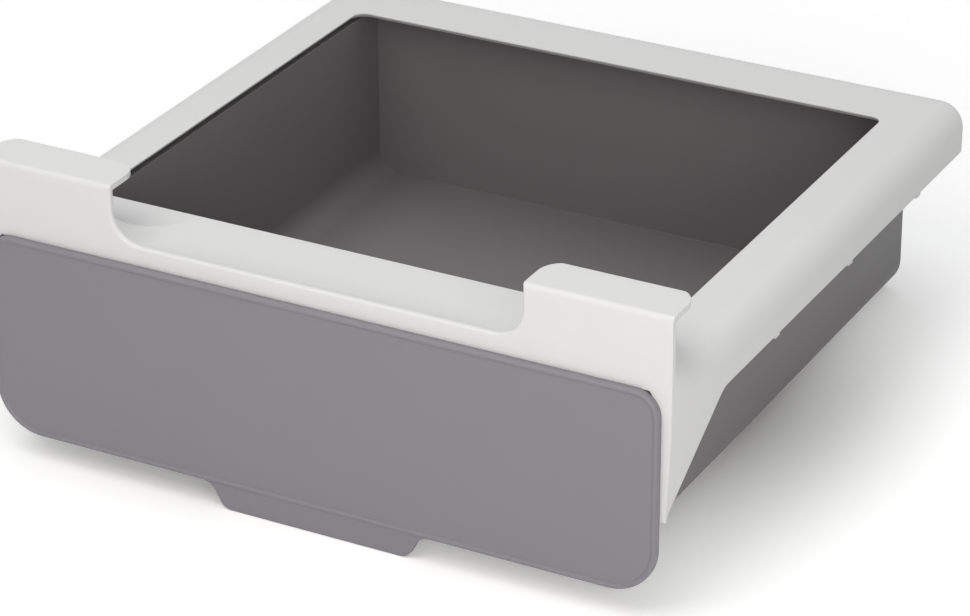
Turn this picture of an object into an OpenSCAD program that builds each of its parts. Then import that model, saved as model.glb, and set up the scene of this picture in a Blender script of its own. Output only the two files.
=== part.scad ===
// Cabinet organizer: a drawer that hangs from a white top frame under a shelf.
// Millimetres, X to the right, Y to the back, Z up. The frame's flat top, which
// lies under the shelf, is z = 0, and the back edges of the two ears are y = 0.

/* [Top frame] */
// Clear width of the opening in the frame
opening_width = 240; // [200:1:280]
// Clear depth of the opening in the frame
opening_depth = 203; // [170:1:240]
// Corner radius of the opening, seen from above
opening_radius = 5; // [2:0.5:12]
// Width of each side rail, from the opening to the outside
side_rail = 24; // [23:0.5:32]
// Depth of the flat strip between the ears' backs and the opening
front_strip = 20; // [18:1:30]
// Depth of the rear rail, from the opening to the outside
rear_rail = 35.8; // [32:0.1:45]
// Radius of the outer top edges and of the rear corners
edge_radius = 11; // [8:0.5:12]
// Height of the side and rear skirts, below the flat top
skirt_height = 20.2; // [19:0.1:26]
// Wall thickness of the white mouldings
shell_wall = 2.2; // [1.8:0.1:2.6]
// Height of the vertical land round the opening, above its undercut
opening_land = 0.5; // [0.3:0.1:1]
// Number of ribs inside the rear rail
rib_count = 5; // [2:1:9]
// Gap between the drawer's way and the ribs inside the rear rail
rib_gap = 2; // [1:0.5:4]

/* [Ears and fascia] */
// Height of the ears above the frame's flat top
ear_height = 27.2; // [24:0.2:30]
// Depth of the ears, from the fascia to their back edges
ear_depth = 22; // [18:0.5:26]
// Thickness of the plate on top of each ear
ear_plate = 2.2; // [2.1:0.1:3]
// Rounding of the ears' top edges
ear_edge = 2; // [1:0.25:2]
// Corner radius of the ears at the back, seen from above
ear_corner = 10.5; // [6:0.5:12]
// Clear width between the two ears
recess_width = 171.2; // [140:0.2:190]
// Height of the recess's front edge above the flat top
recess_rise = 4.8; // [3:0.1:7]
// Fillet between the recess and the ears
recess_fillet = 12; // [8:0.5:14]
// Rounding of the recess's front edge
recess_edge = 1; // [0.6:0.1:1.6]
// Step from the fascia's edge down to the recess's floor behind it
recess_lip = 0.4; // [0.3:0.1:0.8]
// Distance behind the ears at which the sweep under them leaves the flat top
sweep_start = 17; // [10:0.5:17]
// Gap between the sweep's upper end and the ear's plate
sweep_gap = 11; // [7:0.5:14]
// Height of the fascia's bar below the flat top, hidden by the panel
bar_drop = 3.2; // [2.9:0.1:3.3]
// Height of the slanted upper corners of the drawer's way
way_slant = 2.8; // [1:0.1:4]
// Width of each leg beside the drawer's way
leg_width = 7; // [5:0.5:8]
// Drop of the legs' tips below the flat top
leg_drop = 54.5; // [40:0.5:60]
// Narrowing of each leg towards its tip
leg_taper = 1.6; // [0.5:0.1:2]
// Length of the legs' slanted lower edge along Y, behind the fascia
gusset_length = 44; // [34:1:60]
// Length of the legs' blunt tip
leg_tip = 1.6; // [1:0.1:2.2]
// Height of the legs' blunt tip
leg_tip_height = 3; // [1:0.5:5]
// Soft corner where the slanted edge meets the skirt
gusset_fillet = 10; // [4:1:16]

/* [Runners] */
// Number of catches that hold each runner
catch_count = 3; // [2:1:4]
// Place of the first catch behind the shelf's edge
catch_first = 69; // [50:1:80]
// Spacing of the catches
catch_pitch = 68; // [45:1:70]
// Length of a catch along the rail
catch_length = 4; // [3:0.5:6]
// Height of a catch below the skirt
catch_drop = 1.6; // [1:0.1:2.4]
// Thickness of the runner's ledge
ledge_thickness = 2; // [1.6:0.1:3]
// Height of the rib that guides the drawer's lip
guide_height = 3; // [2:0.25:4]
// Thickness of the runner's guide rib
guide_thickness = 2.2; // [1.6:0.1:2.6]
// Height of the runner's web above its ledge
web_rise = 3; // [2:0.25:3.5]
// Height of the stop at the runner's front end
stop_height = 5.5; // [4:0.25:6]
// Length of the stop at the runner's front end
stop_length = 6; // [4:0.5:8]
// Gap behind the fascia, in front of the runner
runner_front_gap = 5; // [3:0.5:8]
// Gap between the runner's back end and the rear corner's curve
runner_back_gap = 1; // [0.5:0.5:3]

/* [Drawer tub] */
// Wall thickness of the tub
tub_wall = 2.4; // [2:0.1:3]
// Overhang of the frame's opening over the tub's inner side
tub_side_step = 0.6; // [0:0.1:1]
// Inner length of the tub behind the opening's rear edge
tub_back_step = 17; // [10:0.5:19]
// Depth of the tub's underside below the frame's flat top
tub_depth = 83.3; // [60:0.1:110]
// Outer radius along the tub's two lower edges
tub_radius = 12.6; // [8:0.2:20]
// Gap between the frame's flat top and the tub's rim
rim_gap = 3.8; // [3.6:0.1:4.2]
// Width of the flange along each side of the tub
flange_width = 12; // [11.5:0.1:12.5]
// Width of the flange at the back of the tub
back_flange = 4; // [3:0.5:6]
// Height of the lip that runs on the ledge, from the rim
lip_height = 7.9; // [7:0.1:8.5]

/* [Front panel] */
// Width of the front panel
panel_width = 280.4; // [270:0.2:284]
// Gap between the frame's flat top and the panel's top edge
panel_top_gap = 2.6; // [1.6:0.1:2.8]
// Height of the front panel without the finger pull
panel_height = 82.6; // [70:0.2:110]
// Thickness of the front panel's rim
panel_thickness = 2.8; // [2.6:0.1:4]
// Radius of the panel's upper corners
panel_top_radius = 10; // [5:0.5:14]
// Radius of the panel's lower corners
panel_bottom_radius = 19.3; // [10:0.1:24]
// Width of the raised rim round the panel
rim_width = 2.3; // [1.8:0.1:3]
// Height of the raised rim above the panel's field
rim_height = 0.6; // [0.3:0.1:0.8]
// Gap between the closed panel and the fascia
panel_gap = 0.3; // [0.3:0.1:1]

/* [Finger pull] */
// Drop of the finger pull below the panel
pull_drop = 10.1; // [8:0.1:16]
// Width of the pull's straight lower edge
pull_width = 72; // [50:1:110]
// Radius of the pull's two soft bends on each side
pull_bend = 5.5; // [3:0.25:6]
// Slope of the pull's sides
pull_slope = 62; // [50:1:75]

/* [Panel screws] */
// Sideways place of the screws, from the middle
screw_x = 92; // [60:1:100]
// Depth of the upper screws below the flat top
screw_upper = 26; // [22:0.5:34]
// Depth of the lower screws below the flat top
screw_lower = 60; // [48:0.5:62]
// Radius of the screws' heads
screw_head = 5.4; // [5:0.1:6]
// Radius of the screws' shanks
screw_shank = 1.5; // [1.2:0.1:1.8]
// Thickness of the screws' heads
screw_head_height = 2.2; // [1.6:0.1:3]
// Share of the head's radius that its top keeps, above the slanted rim
head_top_share = 0.8; // [0.6:0.05:0.95]
// Length of the screws below the head
screw_length = 6.5; // [5:0.1:7]
// Radius of the cross recess's outer end
drive_radius = 2.3; // [1.8:0.1:2.6]
// Width of the cross recess's arms
drive_width = 0.9; // [0.7:0.05:1.1]
// Depth of the cross recess
drive_depth = 1.3; // [0.8:0.1:1.5]
// Radius of the panel's screw bosses
boss_radius = 4; // [3.6:0.1:4.4]
// Wall of the collars round the bosses in the tub's front wall
collar_wall = 2.2; // [1.6:0.1:2.8]
// Height of the collars inside the tub
collar_height = 3.5; // [3:0.1:4.5]

/* [Glides] */
// Length of each rear glide
glide_length = 20; // [14:1:26]
// Distance from the tub's back to each glide
glide_back = 40; // [30:1:60]
// Thickness of the glide's pad above the rim
glide_pad = 1; // [0.8:0.1:1.2]
// Thickness of the glide's cheek beside the lip
glide_cheek = 3.4; // [3:0.1:3.5]
// Height of the glide's cheek
cheek_height = 6.4; // [5:0.1:6.6]
// Radius of the peg that holds the glide in the flange
peg_radius = 2; // [1.5:0.1:2.5]

/* [Hidden] */

// Overrun of every cut past the face it opens
over = 1;
// Clearance between pieces that seat or slide on one another
fit_gap = 0.3;
// Smoothness of the drawn circles
$fn = 72;

// Frame
opening_half = opening_width / 2;
opening_back = front_strip + opening_depth;
frame_half = opening_half + side_rail;
frame_back = opening_back + rear_rail;
fascia_y = -ear_depth;
recess_half = recess_width / 2;
inner_half = frame_half - shell_wall;
way_half = frame_half - leg_width;
fascia_back = fascia_y + shell_wall;
// The recess's floor is an arc from the flat top, at y = 0, to the fascia
ramp_rise = recess_rise - recess_lip;
ramp_radius = (fascia_back * fascia_back + ramp_rise * ramp_rise) / (2 * ramp_rise);
// The sweep under the ears is an arc from the flat top to the fascia's back
sweep_rise = ear_height - ear_plate - sweep_gap;
sweep_reach = sweep_start - fascia_back;
sweep_radius = (sweep_reach * sweep_reach + sweep_rise * sweep_rise) / (2 * sweep_rise);
sweep_outer = sweep_radius + skirt_height + sweep_reach;

// Runner: the web stands against the inside of the skirt
web_outer = inner_half - fit_gap;
web_inner = web_outer - shell_wall;
lip_outer = opening_half + tub_side_step + tub_wall + flange_width;
lip_inner = lip_outer - tub_wall;
ledge_top = -rim_gap - lip_height - fit_gap;
ledge_bottom = ledge_top - ledge_thickness;
guide_outer = lip_inner - 2 * fit_gap;
guide_inner = guide_outer - guide_thickness;
runner_front = fascia_back + runner_front_gap;
runner_back = frame_back - edge_radius - runner_back_gap;

// Tub
tub_inner_half = opening_half + tub_side_step;
tub_half = tub_inner_half + tub_wall;
tub_front = fascia_y - panel_gap;
tub_inner_back = opening_back + tub_back_step;
tub_back = tub_inner_back + tub_wall;
tub_rim = -rim_gap;

// Panel
panel_back_y = tub_front;
panel_front_y = panel_back_y - panel_thickness;
panel_field_y = panel_front_y + rim_height;
panel_half = panel_width / 2;
panel_top = -panel_top_gap;
panel_bottom = panel_top - panel_height;
pull_bottom = panel_bottom - pull_drop;
pull_half = pull_width / 2;
// The two bends turn the pull's edge by its slope, a straight piece joins them
pull_straight = (pull_drop - 2 * pull_bend * (1 - cos(pull_slope))) / sin(pull_slope);
pull_run = 2 * pull_bend * sin(pull_slope) + pull_straight * cos(pull_slope);

// Screws
collar_face = tub_front + tub_wall + collar_height;
boss_length = tub_wall + collar_height - fit_gap;
boss_hole = boss_radius + fit_gap;
pilot_radius = screw_shank + fit_gap / 2;
screw_places = [for (side = [-1, 1]) for (drop = [screw_upper, screw_lower]) [side * screw_x, -drop]];

// Glides
glide_front_y = tub_back - glide_back - glide_length;
glide_top = tub_rim + glide_pad;
cheek_outer = lip_outer + glide_cheek;
cheek_bottom = tub_rim - lip_height;

// A prism along Y from an X-Z outline, between two places
module along_y(front, back) {
    translate([0, back, 0])
        rotate([90, 0, 0])
            linear_extrude(height = back - front)
                children();
}

// A prism along X from a Y-Z outline, between two places
module along_x(left, right) {
    translate([left, 0, 0])
        rotate([90, 0, 90])
            linear_extrude(height = right - left)
                children();
}

// A U-shaped outline, open at its top, with two rounded lower corners
module u_2d(half, bottom, top, r) {
    translate([-half, bottom + r])
        square([2 * half, top - bottom - r]);
    translate([r - half, bottom])
        square([2 * (half - r), r]);
    for (side = [-1, 1])
        translate([side * (half - r), bottom + r])
            circle(r = r);
}

// An outline with two rounded upper corners
module upper_round_2d(left, right, bottom, top, r) {
    translate([left, bottom])
        square([right - left, top - r - bottom]);
    translate([left + r, bottom])
        square([right - left - 2 * r, top - bottom]);
    for (x = [left + r, right - r])
        translate([x, top - r])
            circle(r = r);
}

// The outside of a rail from the middle of its edge's rounding outward
module rail_edge_2d(r, bottom) {
    translate([0, bottom])
        square([r, -edge_radius - bottom]);
    translate([0, -edge_radius])
        intersection() {
            circle(r = r);
            square([r, r]);
        }
}

// The frame's rails behind the sweep as one block with rounded top edges and
// rear corners, made smaller by an inset for the hollow
module rail_block(inset, bottom) {
    r = edge_radius - inset;
    half = frame_half - edge_radius;
    back = frame_back - edge_radius;
    translate([-half, sweep_start, bottom])
        cube([2 * half, back - sweep_start, -inset - bottom]);
    along_x(-half, half)
        translate([back, 0])
            rail_edge_2d(r, bottom);
    for (side = [0, 1])
        mirror([side, 0, 0]) {
            along_y(sweep_start, back)
                translate([half, 0])
                    rail_edge_2d(r, bottom);
            translate([half, back, 0])
                rotate_extrude(angle = 90)
                    rail_edge_2d(r, bottom);
        }
}

// The front of the rails: the flat top and its rounded edges sweep up on an arc
// to the fascia. It is a piece of a wide ring whose axis lies over the strip
module sweep_block(inset, bottom) {
    r = edge_radius - inset;
    inner = sweep_radius + inset;
    half = frame_half - edge_radius;
    intersection() {
        translate([0, sweep_start, sweep_radius])
            rotate([0, 90, 0])
                rotate_extrude() {
                    translate([inner + r, -half - r])
                        square([sweep_outer - inner - r, 2 * (half + r)]);
                    translate([inner, -half])
                        square([sweep_outer - inner, 2 * half]);
                    for (side = [-1, 1])
                        translate([inner + r, side * half])
                            circle(r = r);
                }
        translate([-frame_half - over, fascia_back, bottom])
            cube([2 * (frame_half + over), sweep_reach, sweep_rise + over - bottom]);
    }
}

// The recess's cutter between the ears: behind the ears' backs its floor is the
// flat top, in front it is a drum whose floor rises to the fascia. The drum's
// ends are rounded, and its rim is the fillet towards the ears
module recess_cut(inset) {
    r = recess_fillet + inset;
    half = recess_half + recess_lip + inset;
    radius = ramp_radius + inset;
    along_y(0, sweep_start + over)
        u_2d(half, -inset, ear_height, r);
    intersection() {
        translate([0, 0, ramp_radius])
            rotate([0, 90, 0])
                rotate_extrude() {
                    translate([0, -half])
                        square([radius - r, 2 * half]);
                    translate([0, r - half])
                        square([radius, 2 * (half - r)]);
                    for (side = [-1, 1])
                        translate([radius - r, side * (half - r)])
                            circle(r = r);
                }
        translate([-frame_half, fascia_y, -skirt_height])
            cube([2 * frame_half, -fascia_y, skirt_height + ear_height]);
    }
}

// The fascia: a plate with the recess's outline and the drawer's way cut out
module fascia() {
    difference() {
        translate([-frame_half, fascia_y, -skirt_height])
            cube([2 * frame_half, shell_wall, skirt_height + ear_height - ear_plate]);
        along_y(fascia_y - over, fascia_back + over)
            u_2d(recess_half, recess_rise, ear_height, recess_fillet);
    }
}

// The drawer's way through the fascia. Its upper corners are slanted, so that
// the panel's rounded corners hide them
module way_2d() {
    polygon([
        [-way_half, -skirt_height - over],
        [way_half, -skirt_height - over],
        [way_half, -bar_drop - way_slant],
        [lip_outer + fit_gap, -bar_drop],
        [-lip_outer - fit_gap, -bar_drop],
        [-way_half, -bar_drop - way_slant]
    ]);
}

// The plate on top of the right ear, with rounded edges and back corners
module ear() {
    bottom = ear_height - ear_plate;
    intersection() {
        along_x(recess_half, frame_half)
            upper_round_2d(fascia_y, 0, bottom, ear_height, ear_edge);
        translate([0, 0, bottom])
            linear_extrude(height = ear_plate)
                upper_round_2d(recess_half, frame_half, fascia_y, 0, ear_corner);
    }
}

// The corner between a wall and its front face, outside a small rounding
module edge_2d(wall) {
    difference() {
        translate([wall - over, -over])
            square([recess_edge + over, recess_edge + over]);
        translate([wall + recess_edge, recess_edge])
            circle(r = recess_edge);
    }
}

// The cutter that rounds the recess's front edge, its fillets and the ears' sides
module recess_edge_cut() {
    turn = recess_half - recess_fillet;
    height = recess_rise + recess_fillet;
    translate([0, fascia_y, 0]) {
        translate([-turn, 0, height])
            rotate([0, 90, 0])
                linear_extrude(height = 2 * turn)
                    edge_2d(recess_fillet);
        for (side = [0, 1])
            mirror([side, 0, 0]) {
                translate([turn, 0, height])
                    rotate([90, 0, 0])
                        mirror([0, 0, 1])
                            rotate([0, 0, -90])
                                rotate_extrude(angle = 90)
                                    edge_2d(recess_fillet);
                translate([turn, 0, height])
                    linear_extrude(height = ear_height + over - height)
                        edge_2d(recess_fillet);
            }
    }
}

// One leg on the right: the skirt runs down in front to a blunt tip
module leg() {
    slope_end = fascia_y + gusset_length;
    tip_back = fascia_y + leg_tip;
    intersection() {
        along_x(way_half, frame_half)
            leg_side_2d(fascia_y, tip_back, slope_end);
        along_y(fascia_y, slope_end + gusset_fillet)
            polygon([
                [way_half, 0],
                [frame_half, 0],
                [frame_half, -skirt_height],
                [frame_half - leg_taper, -leg_drop],
                [way_half, -leg_drop]
            ]);
        difference() {
            translate([way_half, fascia_y, -leg_drop])
                cube([leg_width, gusset_length + gusset_fillet, leg_drop - edge_radius]);
            along_y(fascia_y + shell_wall, slope_end + gusset_fillet + over)
                polygon([
                    [way_half - over, -edge_radius + over],
                    [inner_half, -edge_radius + over],
                    [inner_half, -skirt_height],
                    [inner_half - leg_taper, -leg_drop - over],
                    [way_half - over, -leg_drop - over]
                ]);
        }
    }
}

// The leg from the side: a slanted lower edge with a soft corner at the skirt
module leg_side_2d(front, tip_back, slope_end) {
    rise = leg_drop - leg_tip_height - skirt_height;
    angle = atan2(rise, slope_end - tip_back);
    reach = gusset_fillet * tan(angle / 2);
    difference() {
        polygon([
            [front, 0],
            [front, -leg_drop],
            [tip_back - leg_tip / 2, -leg_drop],
            [tip_back, -leg_drop + leg_tip_height],
            [slope_end - reach * cos(angle), -skirt_height - reach * sin(angle)],
            [slope_end, -skirt_height - reach * sin(angle)],
            [slope_end + reach, -skirt_height],
            [slope_end + reach, 0]
        ]);
        translate([slope_end + reach, -skirt_height - gusset_fillet])
            circle(r = gusset_fillet);
    }
}

// The opening's cutter: a short vertical land, then an undercut all round
module opening_cut() {
    flare = shell_wall - opening_land + over;
    x = opening_half - opening_radius;
    near = front_strip + opening_radius;
    far = opening_back - opening_radius;
    translate([0, 0, -opening_land])
        linear_extrude(height = opening_land + over) {
            translate([-x, front_strip])
                square([2 * x, opening_depth]);
            translate([-opening_half, near])
                square([opening_width, far - near]);
            for (side = [-1, 1])
                for (y = [near, far])
                    translate([side * x, y])
                        circle(r = opening_radius);
        }
    along_y(near, far)
        polygon([
            [-opening_half, -opening_land],
            [opening_half, -opening_land],
            [opening_half + flare, -opening_land - flare],
            [-opening_half - flare, -opening_land - flare]
        ]);
    along_x(-x, x)
        polygon([
            [front_strip, -opening_land],
            [opening_back, -opening_land],
            [opening_back + flare, -opening_land - flare],
            [front_strip - flare, -opening_land - flare]
        ]);
    for (side = [-1, 1])
        for (y = [near, far])
            translate([side * x, y, -opening_land - flare])
                cylinder(r1 = opening_radius + flare, r2 = opening_radius, h = flare);
}

// The catches under one skirt: each reaches under the runner's web
module catches() {
    for (i = [0 : catch_count - 1])
        translate([0, catch_first + i * catch_pitch, 0]) {
            translate([web_inner, -catch_length / 2, -skirt_height - catch_drop])
                cube([frame_half - fit_gap - web_inner, catch_length, catch_drop]);
            translate([inner_half, -catch_length / 2, -skirt_height - catch_drop])
                cube([shell_wall - fit_gap, catch_length, catch_drop + shell_wall]);
        }
}

// The pads above the runner's web, so that it can't lift
module hold_downs() {
    web_top = ledge_top + web_rise;
    for (i = [0 : catch_count - 1])
        intersection() {
            translate([web_inner + fit_gap, catch_first + i * catch_pitch - catch_length / 2, web_top])
                cube([side_rail, catch_length, -web_top]);
            rail_block(shell_wall / 2, -skirt_height);
        }
}

// The stiffening ribs inside the rear rail, behind the drawer's way
module rear_ribs() {
    reach = frame_half - 2 * edge_radius;
    front = tub_back + back_flange + rib_gap;
    intersection() {
        for (i = [0 : rib_count - 1])
            translate([(2 * i / (rib_count - 1) - 1) * reach - shell_wall / 4, front, -edge_radius])
                cube([shell_wall / 2, frame_back - front, edge_radius]);
        rail_block(shell_wall / 2, -skirt_height);
    }
}

// The white top frame: a hollow moulding with its opening, ears and legs
module top_frame() {
    color("whitesmoke") {
        difference() {
            union() {
                rail_block(0, -skirt_height);
                difference() {
                    sweep_block(0, -skirt_height);
                    recess_cut(0);
                }
                fascia();
                for (side = [0, 1])
                    mirror([side, 0, 0])
                        ear();
            }
            rail_block(shell_wall, -skirt_height - over);
            difference() {
                sweep_block(shell_wall, -skirt_height - over);
                recess_cut(shell_wall);
            }
            opening_cut();
            recess_edge_cut();
            along_y(fascia_y - over, fascia_back + over)
                way_2d();
        }
        for (side = [0, 1])
            mirror([side, 0, 0]) {
                leg();
                catches();
                hold_downs();
            }
        rear_ribs();
    }
}

// The right runner: a ledge for the drawer's lip, a guide rib, a web and a stop
module runner() {
    length = runner_back - runner_front;
    web_top = ledge_top + web_rise;
    translate([guide_inner, runner_front, ledge_bottom])
        cube([web_outer - guide_inner, length, ledge_thickness]);
    translate([guide_inner, runner_front, ledge_top])
        cube([guide_thickness, length, guide_height]);
    translate([web_inner, runner_front, -skirt_height])
        cube([shell_wall, length, web_top + skirt_height - fit_gap]);
    translate([lip_outer + 2 * fit_gap, runner_front, ledge_top])
        cube([web_outer - lip_outer - 3 * fit_gap, stop_length, web_rise - fit_gap]);
    translate([lip_outer + 2 * fit_gap, runner_front, ledge_top])
        cube([web_inner - lip_outer - fit_gap, stop_length, stop_height]);
}

module runner_right() {
    color("gainsboro")
        runner();
}

module runner_left() {
    color("gainsboro")
        mirror([1, 0, 0])
            runner();
}

// The grey tub: a U-shaped tray, a flange with a lip on each side, and
// collars in the front wall for the panel's bosses
module drawer_tub() {
    length = tub_back - tub_front;
    color("dimgray")
        difference() {
            union() {
                along_y(tub_front, tub_back)
                    u_2d(tub_half, -tub_depth, tub_rim, tub_radius);
                translate([-lip_outer, tub_front, tub_rim - tub_wall])
                    cube([2 * lip_outer, length, tub_wall]);
                translate([-tub_half, tub_back - over, tub_rim - tub_wall])
                    cube([2 * tub_half, back_flange + over, tub_wall]);
                for (side = [0, 1])
                    mirror([side, 0, 0])
                        translate([lip_inner, tub_front, tub_rim - lip_height])
                            cube([tub_wall, length, lip_height]);
            }
            difference() {
                along_y(tub_front + tub_wall, tub_inner_back)
                    u_2d(tub_inner_half, tub_wall - tub_depth, tub_rim + over, tub_radius - tub_wall);
                for (place = screw_places)
                    translate([place[0], tub_front, place[1]])
                        rotate([-90, 0, 0])
                            cylinder(r = boss_hole + collar_wall, h = tub_wall + collar_height);
            }
            for (place = screw_places)
                translate([place[0], tub_front - over, place[1]])
                    rotate([-90, 0, 0])
                        cylinder(r = boss_hole, h = tub_wall + collar_height + 2 * over);
            for (side = [-1, 1])
                translate([side * (tub_half + flange_width / 2), glide_front_y + glide_length / 2, tub_rim - tub_wall - over])
                    cylinder(r = peg_radius + fit_gap / 2, h = tub_wall + 2 * over);
        }
}

// The panel's outline, made smaller by an inset
module panel_2d(inset) {
    half = panel_half - inset;
    r_top = panel_top_radius - inset;
    r_bottom = panel_bottom_radius - inset;
    top = panel_top - inset;
    bottom = panel_bottom + inset;
    translate([-half, bottom + r_bottom])
        square([2 * half, top - bottom - r_top - r_bottom]);
    translate([r_top - half, bottom + r_bottom])
        square([2 * (half - r_top), top - bottom - r_bottom]);
    translate([r_bottom - half, bottom])
        square([2 * (half - r_bottom), r_bottom + over]);
    for (side = [-1, 1]) {
        translate([side * (half - r_top), top - r_top])
            circle(r = r_top);
        translate([side * (half - r_bottom), bottom + r_bottom])
            circle(r = r_bottom);
    }
}

// The finger pull: a tongue below the panel with two soft bends on each side
module pull_2d() {
    outer = pull_half + pull_run;
    sx = pull_bend * sin(pull_slope);
    sz = pull_bend * (1 - cos(pull_slope));
    difference() {
        polygon([
            [-outer, panel_bottom + over],
            [outer, panel_bottom + over],
            [outer, panel_bottom],
            [outer - sx, panel_bottom - sz],
            [pull_half + sx, pull_bottom + sz],
            [pull_half, pull_bottom],
            [-pull_half, pull_bottom],
            [-pull_half - sx, pull_bottom + sz],
            [-outer + sx, panel_bottom - sz],
            [-outer, panel_bottom]
        ]);
        for (side = [-1, 1])
            translate([side * outer, panel_bottom - pull_bend])
                circle(r = pull_bend);
    }
    for (side = [-1, 1])
        translate([side * pull_half, pull_bottom + pull_bend])
            circle(r = pull_bend);
}

// A quarter turn of the rim's bead round one corner of the panel
module bead_corner(x, z, r, start) {
    bead = rim_width / 2;
    translate([x, panel_front_y + bead, z])
        rotate([90, 0, 0])
            rotate([0, 0, start])
                rotate_extrude(angle = 90)
                    translate([r - bead, 0])
                        circle(r = bead);
}

// The raised rim: a half-round bead on the panel's edge
module panel_rim() {
    bead = rim_width / 2;
    y = panel_front_y + bead;
    x_top = panel_half - panel_top_radius;
    x_bottom = panel_half - panel_bottom_radius;
    z_top = panel_top - panel_top_radius;
    z_bottom = panel_bottom + panel_bottom_radius;
    translate([-x_top, y, panel_top - bead])
        rotate([0, 90, 0])
            cylinder(r = bead, h = 2 * x_top);
    translate([-x_bottom, y, panel_bottom + bead])
        rotate([0, 90, 0])
            cylinder(r = bead, h = 2 * x_bottom);
    for (side = [-1, 1])
        translate([side * (panel_half - bead), y, z_bottom])
            cylinder(r = bead, h = z_top - z_bottom);
    bead_corner(x_top, z_top, panel_top_radius, 0);
    bead_corner(-x_top, z_top, panel_top_radius, 90);
    bead_corner(-x_bottom, z_bottom, panel_bottom_radius, 180);
    bead_corner(x_bottom, z_bottom, panel_bottom_radius, 270);
}

// The grey front panel: a thin field inside its rim, the finger pull below and
// four bosses behind for the screws
module front_panel() {
    bead = rim_width / 2;
    color("slategray")
        difference() {
            union() {
                along_y(panel_field_y, panel_back_y)
                    panel_2d(bead);
                along_y(panel_front_y + bead, panel_back_y)
                    panel_2d(0);
                along_y(panel_field_y, panel_back_y)
                    pull_2d();
                panel_rim();
                for (place = screw_places)
                    translate([place[0], panel_back_y - over, place[1]])
                        rotate([-90, 0, 0])
                            cylinder(r = boss_radius, h = boss_length + over);
            }
            for (place = screw_places)
                translate([place[0], collar_face - screw_length - fit_gap, place[1]])
                    rotate([-90, 0, 0])
                        cylinder(r = pilot_radius, h = screw_length + 2 * over);
        }
}

// The four screws: a pan head with a cross recess, on the collar's face
module panel_screws() {
    color("silver")
        for (place = screw_places)
            translate([place[0], collar_face, place[1]])
                rotate([-90, 0, 0])
                    difference() {
                        union() {
                            translate([0, 0, -screw_length])
                                cylinder(r = screw_shank, h = screw_length + screw_head_height / 2);
                            cylinder(r = screw_head, h = screw_head_height / 2);
                            translate([0, 0, screw_head_height / 2])
                                cylinder(r1 = screw_head, r2 = screw_head * head_top_share, h = screw_head_height / 2);
                        }
                        for (turn = [0, 90])
                            rotate([0, 0, turn])
                                translate([-drive_radius, -drive_width / 2, screw_head_height - drive_depth])
                                    cube([2 * drive_radius, drive_width, drive_depth + over]);
                    }
}

// The right rear glide: a pad over the rim, a cheek beside the lip, a peg
module glide() {
    pad_inner = tub_half + shell_wall;
    foot = cheek_bottom + fit_gap;
    link = shell_wall / 2;
    translate([pad_inner, glide_front_y, tub_rim])
        cube([lip_outer + link - pad_inner, glide_length, glide_pad]);
    translate([lip_outer, glide_front_y, foot])
        cube([glide_cheek, glide_length, cheek_height]);
    translate([lip_outer, glide_front_y, foot])
        cube([link, glide_length, glide_top - foot]);
    translate([tub_half + flange_width / 2, glide_front_y + glide_length / 2, tub_rim - tub_wall - glide_pad])
        cylinder(r = peg_radius, h = tub_wall + 2 * glide_pad);
}

module glide_right() {
    color("ivory")
        glide();
}

module glide_left() {
    color("ivory")
        mirror([1, 0, 0])
            glide();
}

top_frame();
runner_left();
runner_right();
drawer_tub();
front_panel();
panel_screws();
glide_left();
glide_right();
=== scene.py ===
import math

import bpy
import numpy as np
from mathutils import Matrix, Vector


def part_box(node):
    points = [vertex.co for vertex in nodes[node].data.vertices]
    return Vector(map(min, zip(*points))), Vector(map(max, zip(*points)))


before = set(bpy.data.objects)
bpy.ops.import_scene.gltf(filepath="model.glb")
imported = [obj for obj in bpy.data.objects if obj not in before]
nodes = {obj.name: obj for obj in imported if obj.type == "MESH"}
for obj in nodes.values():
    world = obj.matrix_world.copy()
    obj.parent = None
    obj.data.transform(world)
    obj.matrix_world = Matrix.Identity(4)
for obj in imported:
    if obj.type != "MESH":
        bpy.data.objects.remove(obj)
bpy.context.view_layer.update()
scene = bpy.context.scene
scene.view_settings.view_transform = "Standard"

# --- Camera
# The photograph's view: from the front right, 27 degrees above the frame's
# flat top, with a long lens. The numbers come from a camera fitted to the
# straight edges of the drawer and the frame.
camera_place = Vector((0.635777, -1.080931, 0.623066))
view_azimuth = math.radians(28.083)
view_elevation = math.radians(26.907)
view_roll = math.radians(0.231)
look = Vector((
    -math.sin(view_azimuth) * math.cos(view_elevation),
    math.cos(view_azimuth) * math.cos(view_elevation),
    -math.sin(view_elevation),
))
flat_right = Vector((math.cos(view_azimuth), math.sin(view_azimuth), 0.0))
flat_down = look.cross(flat_right)
right = math.cos(view_roll) * flat_right + math.sin(view_roll) * flat_down
down = -math.sin(view_roll) * flat_right + math.cos(view_roll) * flat_down
camera_data = bpy.data.cameras.new("photo_camera")
camera_data.sensor_fit = "HORIZONTAL"
camera_data.sensor_width = 36.0
camera_data.lens = 142.03
camera_data.clip_end = 60.0
camera = bpy.data.objects.new("photo_camera", camera_data)
scene.collection.objects.link(camera)
turn = Matrix((right, -down, -look)).transposed()
camera.matrix_world = Matrix.Translation(camera_place) @ turn.to_4x4()
scene.camera = camera


# --- Floor and studio light
# The organizer lies on a white table as it does in the photograph: on the
# finger pull in front and on the tub's rear edge. The part's own axes stay as
# they are, so it is the table that slopes, by about two and a half degrees.
pull_low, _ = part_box("front_panel")
tub_low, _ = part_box("drawer_tub")
front_edge_y, front_edge_z = pull_low[1] + 0.0015, pull_low[2]
rear_edge_y, rear_edge_z = 0.2424, tub_low[2]
table_slope = (rear_edge_z - front_edge_z) / (rear_edge_y - front_edge_y)
table_gap = 0.0002
table_half_width = 6.0


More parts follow.
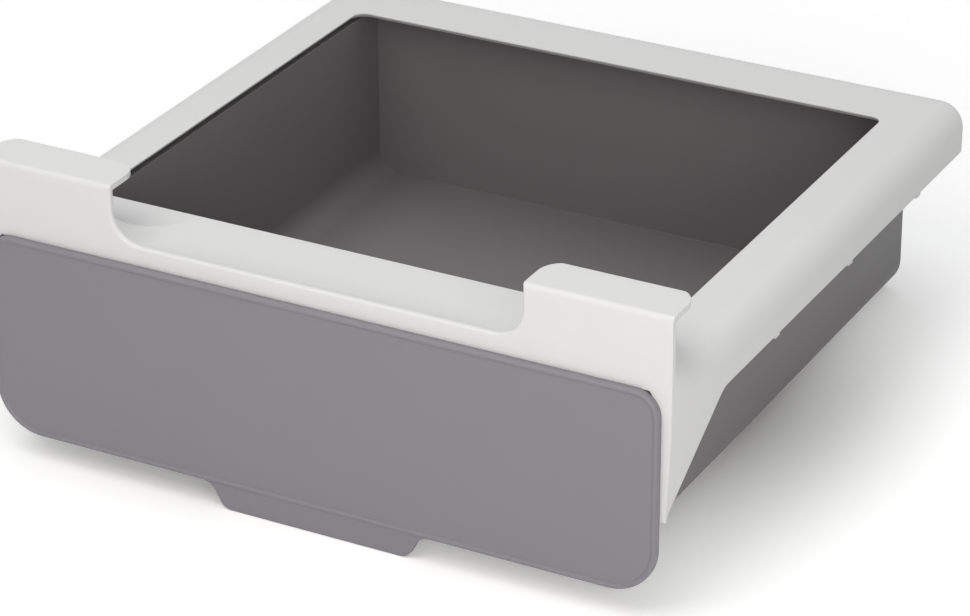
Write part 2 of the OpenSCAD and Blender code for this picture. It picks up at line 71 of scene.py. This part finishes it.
def sheet_mesh(name, half, centre_y, slope, height):
    """A flat square sheet: z is height plus slope times y."""
    x = np.array([-half, half, half, -half])
    y = np.array([-half, -half, half, half]) + centre_y
    z = height + slope * y
    mesh = bpy.data.meshes.new(name)
    mesh.from_pydata(np.stack([x, y, z], 1).tolist(), [], [(0, 1, 2, 3)])
    return mesh


table = bpy.data.objects.new("table", sheet_mesh(
    "table", table_half_width, 0.1, table_slope,
    front_edge_z - table_slope * front_edge_y - table_gap))
scene.collection.objects.link(table)


def looked_at(tree):
    """1 for a ray from the camera, a reflection or something clear, else 0."""
    path = tree.nodes.new("ShaderNodeLightPath")
    total = path.outputs["Is Camera Ray"]
    for kind in ("Is Glossy Ray", "Is Transmission Ray"):
        both = tree.nodes.new("ShaderNodeMath")
        both.operation = "MAXIMUM"
        tree.links.new(total, both.inputs[0])
        tree.links.new(path.outputs[kind], both.inputs[1])
        total = both.outputs[0]
    return total


# The table throws back less light than it shows, so that it looks white and keeps the
# organizer's shadow. What it throws back is painted darker towards the right side's
# far end: painted shade in the bounced light, where the shadow lies. What it shows is
# white lifted by a glow that is painted lower towards the middle of the right side: a
# painted shadow, darkest there. Distances are in metres.
table_paint = bpy.data.materials.new("white_table")
table_paint.use_nodes = True
tree = table_paint.node_tree
tree.nodes.clear()
where = tree.nodes.new("ShaderNodeTexCoord")


def distance_from(x, y):
    """The distance from a point on the table's level."""
    away = tree.nodes.new("ShaderNodeVectorMath")
    away.operation = "DISTANCE"
    away.inputs[1].default_value = (x, y, tub_low[2])
    tree.links.new(where.outputs["Object"], away.inputs[0])
    return away.outputs["Value"]


def with_distance(away, near, far, low, high):
    """A value that goes smoothly from low to high between two distances."""
    rise = tree.nodes.new("ShaderNodeMapRange")
    rise.interpolation_type = "SMOOTHSTEP"
    rise.inputs["From Min"].default_value = near
    rise.inputs["From Max"].default_value = far
    rise.inputs["To Min"].default_value = low
    rise.inputs["To Max"].default_value = high
    tree.links.new(away, rise.inputs["Value"])
    return rise.outputs["Result"]


# Painted shade: the colour that bounces onto the organizer drops from 0.90 to 0.48
# around a point behind the right side.
bounce_painted_shade = tree.nodes.new("ShaderNodeBsdfDiffuse")
tree.links.new(
    with_distance(distance_from(0.12, 0.19), 0.04, 0.22, 0.48, 0.90),
    bounce_painted_shade.inputs["Color"])
white = tree.nodes.new("ShaderNodeBsdfDiffuse")
white.inputs["Color"].default_value = (1.0, 1.0, 1.0, 1.0)
lift = tree.nodes.new("ShaderNodeEmission")
lift.inputs["Color"].default_value = (1.0, 1.0, 1.0, 1.0)
# Painted shadow: the glow seen by the camera is lowest around a point by the right
# side, with a slight painted dip and rise in a ring further out.
shade = distance_from(0.11, 0.12)
shown_glow_painted_shadow = with_distance(shade, 0.0, 0.12, 0.026, 0.27)
for rise in (
    with_distance(shade, 0.14, 0.22, 0.0, -0.06),
    with_distance(shade, 0.22, 0.45, 0.0, 0.06),
    with_distance(shade, 0.6, 3.0, 0.0, 0.7),
):
    total = tree.nodes.new("ShaderNodeMath")
    total.operation = "ADD"
    tree.links.new(shown_glow_painted_shadow, total.inputs[0])
    tree.links.new(rise, total.inputs[1])
    shown_glow_painted_shadow = total.outputs[0]
tree.links.new(shown_glow_painted_shadow, lift.inputs["Strength"])
seen = tree.nodes.new("ShaderNodeAddShader")
pick = tree.nodes.new("ShaderNodeMixShader")
surface = tree.nodes.new("ShaderNodeOutputMaterial")
tree.links.new(white.outputs[0], seen.inputs[0])
tree.links.new(lift.outputs[0], seen.inputs[1])
tree.links.new(looked_at(tree), pick.inputs[0])
tree.links.new(bounce_painted_shade.outputs[0], pick.inputs[1])
tree.links.new(seen.outputs[0], pick.inputs[2])
# From below the table is clear, so that the organizer's underside can be seen.
below = tree.nodes.new("ShaderNodeNewGeometry")
clear = tree.nodes.new("ShaderNodeBsdfTransparent")
side = tree.nodes.new("ShaderNodeMixShader")
tree.links.new(below.outputs["Backfacing"], side.inputs[0])
tree.links.new(pick.outputs[0], side.inputs[1])
tree.links.new(clear.outputs[0], side.inputs[2])
tree.links.new(side.outputs[0], surface.inputs["Surface"])
table.data.materials.append(table_paint)

# The room is a dim even white; whoever looks at it sees plain white.
world = bpy.data.worlds.new("studio")
scene.world = world
world.use_nodes = True
tree = world.node_tree
tree.nodes.clear()
dim = tree.nodes.new("ShaderNodeBackground")
dim.inputs["Color"].default_value = (1.0, 1.0, 1.0, 1.0)
dim.inputs["Strength"].default_value = 0.27
plain = tree.nodes.new("ShaderNodeBackground")
plain.inputs["Color"].default_value = (1.0, 1.0, 1.0, 1.0)
plain.inputs["Strength"].default_value = 1.0
pick = tree.nodes.new("ShaderNodeMixShader")
sky = tree.nodes.new("ShaderNodeOutputWorld")
tree.links.new(looked_at(tree), pick.inputs[0])
tree.links.new(dim.outputs[0], pick.inputs[1])
tree.links.new(plain.outputs[0], pick.inputs[2])
tree.links.new(pick.outputs[0], sky.inputs["Surface"])


def softbox(name, place, target, size, power, colour):
    """A square lamp at a place, turned towards a target."""
    lamp = bpy.data.lights.new(name, "AREA")
    lamp.size = size
    lamp.energy = power
    lamp.color = colour
    holder = bpy.data.objects.new(name, lamp)
    aim = (Vector(target) - Vector(place)).to_track_quat("-Z", "Y")
    holder.matrix_world = Matrix.Translation(place) @ aim.to_matrix().to_4x4()
    scene.collection.objects.link(holder)


# A wide cool lamp overhead gives the soft shadow; three small warm ones light
# the front and the right side. Sizes in metres, powers in watts.
daylight = (0.975, 0.99, 1.0)
lamplight = (1.0, 0.982, 0.95)
for name, place, target, size, power, colour in (
    ("overhead_softbox", (0.0, 0.6, 3.2), (0.0, 0.6, 0.0), 3.2, 43.5, daylight),
    ("front_softbox", (-0.15, -0.45, 0.75), (0.0, 0.05, 0.0), 0.6, 2.75, lamplight),
    ("right_softbox", (0.75, -0.75, 0.30), (0.05, 0.0, -0.05), 0.6, 4.0, lamplight),
    ("low_front_softbox", (0.20, -0.90, 0.25), (0.0, 0.0, -0.03), 0.5, 0.8, lamplight),
):
    softbox(name, place, target, size, power, colour)


# --- Fine moulded grain
# Every plastic piece comes from a mould with a fine spark-eroded grain: the
# surface is matt, with a slight cloudiness and softly varying roughness.
def moulded_grain():
    """A node group: cloudiness from wide noise, roughness from middle noise,
    and a height from fine noise added to a little of the middle noise."""
    group = bpy.data.node_groups.new("moulded_grain", "ShaderNodeTree")
    face = group.interface
    for label, kind, value in (
        ("Colour", "NodeSocketColor", (0.5, 0.5, 0.5, 1.0)),
        ("Cloudiness", "NodeSocketFloat", 0.02),
        ("Roughness", "NodeSocketFloat", 0.5),
        ("Roughness Spread", "NodeSocketFloat", 0.06),
        ("Grain Scale", "NodeSocketFloat", 2200.0),
    ):
        socket = face.new_socket(label, in_out="INPUT", socket_type=kind)
        socket.default_value = value
    face.new_socket("Colour", in_out="OUTPUT", socket_type="NodeSocketColor")
    face.new_socket("Roughness", in_out="OUTPUT", socket_type="NodeSocketFloat")
    face.new_socket("Height", in_out="OUTPUT", socket_type="NodeSocketFloat")
    new, link = group.nodes.new, group.links.new
    given, out = new("NodeGroupInput"), new("NodeGroupOutput")
    where = new("ShaderNodeTexCoord")

    wide = new("ShaderNodeTexNoise")
    wide.inputs["Scale"].default_value = 14.0
    wide.inputs["Detail"].default_value = 3.0
    link(where.outputs["Object"], wide.inputs["Vector"])
    middle = new("ShaderNodeTexNoise")
    middle.inputs["Scale"].default_value = 160.0
    middle.inputs["Detail"].default_value = 4.0
    link(where.outputs["Object"], middle.inputs["Vector"])
    fine = new("ShaderNodeTexNoise")
    fine.inputs["Detail"].default_value = 2.0
    link(where.outputs["Object"], fine.inputs["Vector"])
    link(given.outputs["Grain Scale"], fine.inputs["Scale"])

    def around(source, spread):
        """source, from 0 to 1, made to run from minus spread to plus spread."""
        centred = new("ShaderNodeMath")
        centred.operation = "SUBTRACT"
        centred.inputs[1].default_value = 0.5
        link(source, centred.inputs[0])
        scaled = new("ShaderNodeMath")
        scaled.operation = "MULTIPLY"
        link(centred.outputs[0], scaled.inputs[0])
        link(spread, scaled.inputs[1])
        return scaled.outputs[0]

    shade = new("ShaderNodeMath")
    shade.operation = "ADD"
    shade.inputs[1].default_value = 1.0
    link(around(wide.outputs["Fac"], given.outputs["Cloudiness"]), shade.inputs[0])
    tint = new("ShaderNodeVectorMath")
    tint.operation = "SCALE"
    link(given.outputs["Colour"], tint.inputs[0])
    link(shade.outputs[0], tint.inputs["Scale"])
    link(tint.outputs["Vector"], out.inputs["Colour"])
    rough = new("ShaderNodeMath")
    rough.operation = "ADD"
    uneven = around(middle.outputs["Fac"], given.outputs["Roughness Spread"])
    link(uneven, rough.inputs[0])
    link(given.outputs["Roughness"], rough.inputs[1])
    link(rough.outputs[0], out.inputs["Roughness"])
    height = new("ShaderNodeMath")
    height.operation = "MULTIPLY_ADD"
    height.inputs[1].default_value = 0.3
    link(middle.outputs["Fac"], height.inputs[0])
    link(fine.outputs["Fac"], height.inputs[2])
    link(height.outputs[0], out.inputs["Height"])
    return group


grain_group = moulded_grain()


def grained(name, colour, roughness, cloudiness, spread, bump):
    """A material whose colour, roughness and height come from the grain. Gives
    back the material, its Principled BSDF and its Bump node."""
    material = bpy.data.materials.new(name)
    material.use_nodes = True
    tree = material.node_tree
    bsdf = tree.nodes["Principled BSDF"]
    grain = tree.nodes.new("ShaderNodeGroup")
    grain.node_tree = grain_group
    grain.inputs["Colour"].default_value = (*colour, 1.0)
    grain.inputs["Cloudiness"].default_value = cloudiness
    grain.inputs["Roughness"].default_value = roughness
    grain.inputs["Roughness Spread"].default_value = spread
    relief = tree.nodes.new("ShaderNodeBump")
    relief.inputs["Strength"].default_value = bump
    relief.inputs["Distance"].default_value = 0.0001
    tree.links.new(grain.outputs["Height"], relief.inputs["Height"])
    tree.links.new(relief.outputs["Normal"], bsdf.inputs["Normal"])
    tree.links.new(grain.outputs["Colour"], bsdf.inputs["Base Color"])
    tree.links.new(grain.outputs["Roughness"], bsdf.inputs["Roughness"])
    return material, bsdf, relief


def moulded_plastic(name, colour, roughness, cloudiness=0.02, bump=0.06):
    """A grained plastic whose edges catch the light over half a millimetre."""
    material, bsdf, relief = grained(name, colour, roughness, cloudiness, 0.08, bump)
    bsdf.inputs["Specular IOR Level"].default_value = 0.4
    tree = material.node_tree
    soft_edge = tree.nodes.new("ShaderNodeBevel")
    soft_edge.samples = 6
    soft_edge.inputs["Radius"].default_value = 0.0005
    tree.links.new(soft_edge.outputs["Normal"], relief.inputs["Normal"])
    return material


def dress(node, material):
    """Puts a material on a CAD node."""
    mesh = nodes[node].data
    mesh.materials.clear()
    mesh.materials.append(material)


# --- Top frame
# One white moulding of satin-matt polypropylene: four rails with rounded outer
# edges, two raised ears, a recessed front and two legs. Its flat top rests
# against the shelf's underside, and the ears cover the shelf's front edge.
white_plastic = moulded_plastic("white_plastic", (0.738, 0.738, 0.736), 0.52)
dress("top_frame", white_plastic)

# --- Runners
# Two channels that clip inside the side rails by three catches each, moulded
# in a harder, slicker white plastic so that the drawer slides without oil.
runner_plastic = moulded_plastic(
    "runner_plastic", (0.70, 0.70, 0.69), 0.38, bump=0.03)
dress("runner_left", runner_plastic)
dress("runner_right", runner_plastic)

# --- Drawer tub
# A grey U-shaped tray with a soft lower edge, moulded with the same fine
# grain inside and outside. It hangs by the lips of its flanges on the runners.
tub_plastic = moulded_plastic(
    "tub_plastic", (0.198, 0.190, 0.193), 0.50, cloudiness=0.04)
dress("drawer_tub", tub_plastic)

# --- Front panel
# The grey front with its raised rim and finger pull, one matt moulding with
# the same grain all over, screwed to the tub from inside.
panel_plastic = moulded_plastic(
    "panel_plastic", (0.228, 0.222, 0.242), 0.48, cloudiness=0.03)
dress("front_panel", panel_plastic)

# --- Panel screws
# Four pan-head screws of zinc-plated steel, with a slightly cloudy plating.
# They go through the tub's front wall into the panel's bosses.
zinc, bsdf, _ = grained("zinc_plate", (0.60, 0.60, 0.61), 0.34, 0.15, 0.2, 0.08)
bsdf.inputs["Metallic"].default_value = 1.0
dress("panel_screws", zinc)

# --- Rear glides
# Two natural-coloured acetal shoes pegged into the tub's flanges. They slide
# under the rails and stop the drawer against the runners' front ends.
glide_plastic = moulded_plastic(
    "glide_plastic", (0.72, 0.70, 0.64), 0.32, bump=0.03)
dress("glide_left", glide_plastic)
dress("glide_right", glide_plastic)
